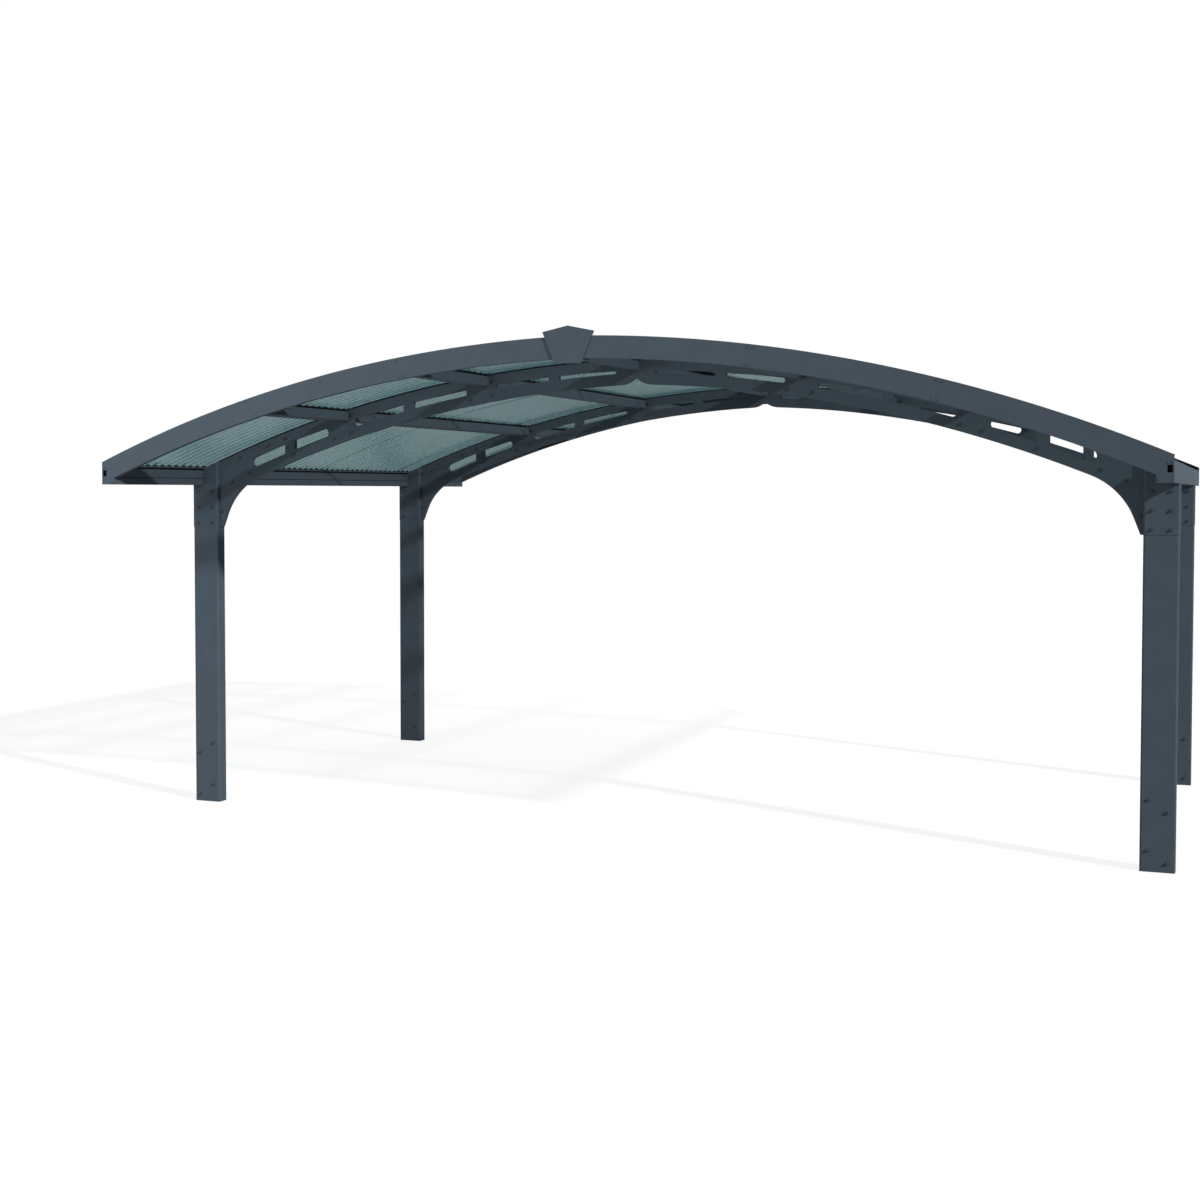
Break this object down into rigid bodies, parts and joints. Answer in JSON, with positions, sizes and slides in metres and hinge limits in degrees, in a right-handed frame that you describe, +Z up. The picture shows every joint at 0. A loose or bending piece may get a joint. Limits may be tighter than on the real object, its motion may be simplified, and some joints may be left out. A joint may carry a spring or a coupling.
{
  "type": "arched carport",
  "caption": "Open double carport: posts with slotted arch trusses carry purlins and a curved corrugated roof, framed by fascia arches with a keystone at the crown.",
  "frame": {"origin": "on the ground under the middle of the roof", "axes": "+X to the right across the span, +Y to the rear along the carport, +Z up"},
  "size_m": [5.8, 4.796, 2.781],
  "materials": {
    "frame_paint": "powder coated anthracite, satin",
    "post_paint": "powder coated anthracite, fine texture",
    "roof_sheet": "tinted translucent corrugated sheet"
  },
  "bodies": {
    "root": {"post_front_left": "post_paint", "post_front_right": "post_paint", "post_rear_left": "post_paint", "post_rear_right": "post_paint", "head_front_left": "post_paint", "head_front_right": "post_paint", "head_rear_left": "post_paint", "head_rear_right": "post_paint", "eave_beam_left": "frame_paint", "eave_beam_right": "frame_paint", "truss_front_left": "frame_paint", "truss_front_right": "frame_paint", "truss_rear_left": "frame_paint", "truss_rear_right": "frame_paint", "purlin_ridge": "frame_paint", "purlin_left_upper": "frame_paint", "purlin_left_lower": "frame_paint", "purlin_right_upper": "frame_paint", "purlin_right_lower": "frame_paint", "fascia_front_left_upper": "frame_paint", "fascia_front_left_middle": "frame_paint", "fascia_front_left_lower": "frame_paint", "fascia_front_right_upper": "frame_paint", "fascia_front_right_middle": "frame_paint", "fascia_front_right_lower": "frame_paint", "fascia_rear_left_upper": "frame_paint", "fascia_rear_left_middle": "frame_paint", "fascia_rear_left_lower": "frame_paint", "fascia_rear_right_upper": "frame_paint", "fascia_rear_right_middle": "frame_paint", "fascia_rear_right_lower": "frame_paint", "keystone_front": "frame_paint", "keystone_rear": "frame_paint", "sheet_left_1": "roof_sheet", "sheet_left_2": "roof_sheet", "sheet_left_3": "roof_sheet", "sheet_left_4": "roof_sheet", "sheet_right_1": "roof_sheet", "sheet_right_2": "roof_sheet", "sheet_right_3": "roof_sheet", "sheet_right_4": "roof_sheet", "ridge_cap": "frame_paint"}
  },
  "joints": []
}
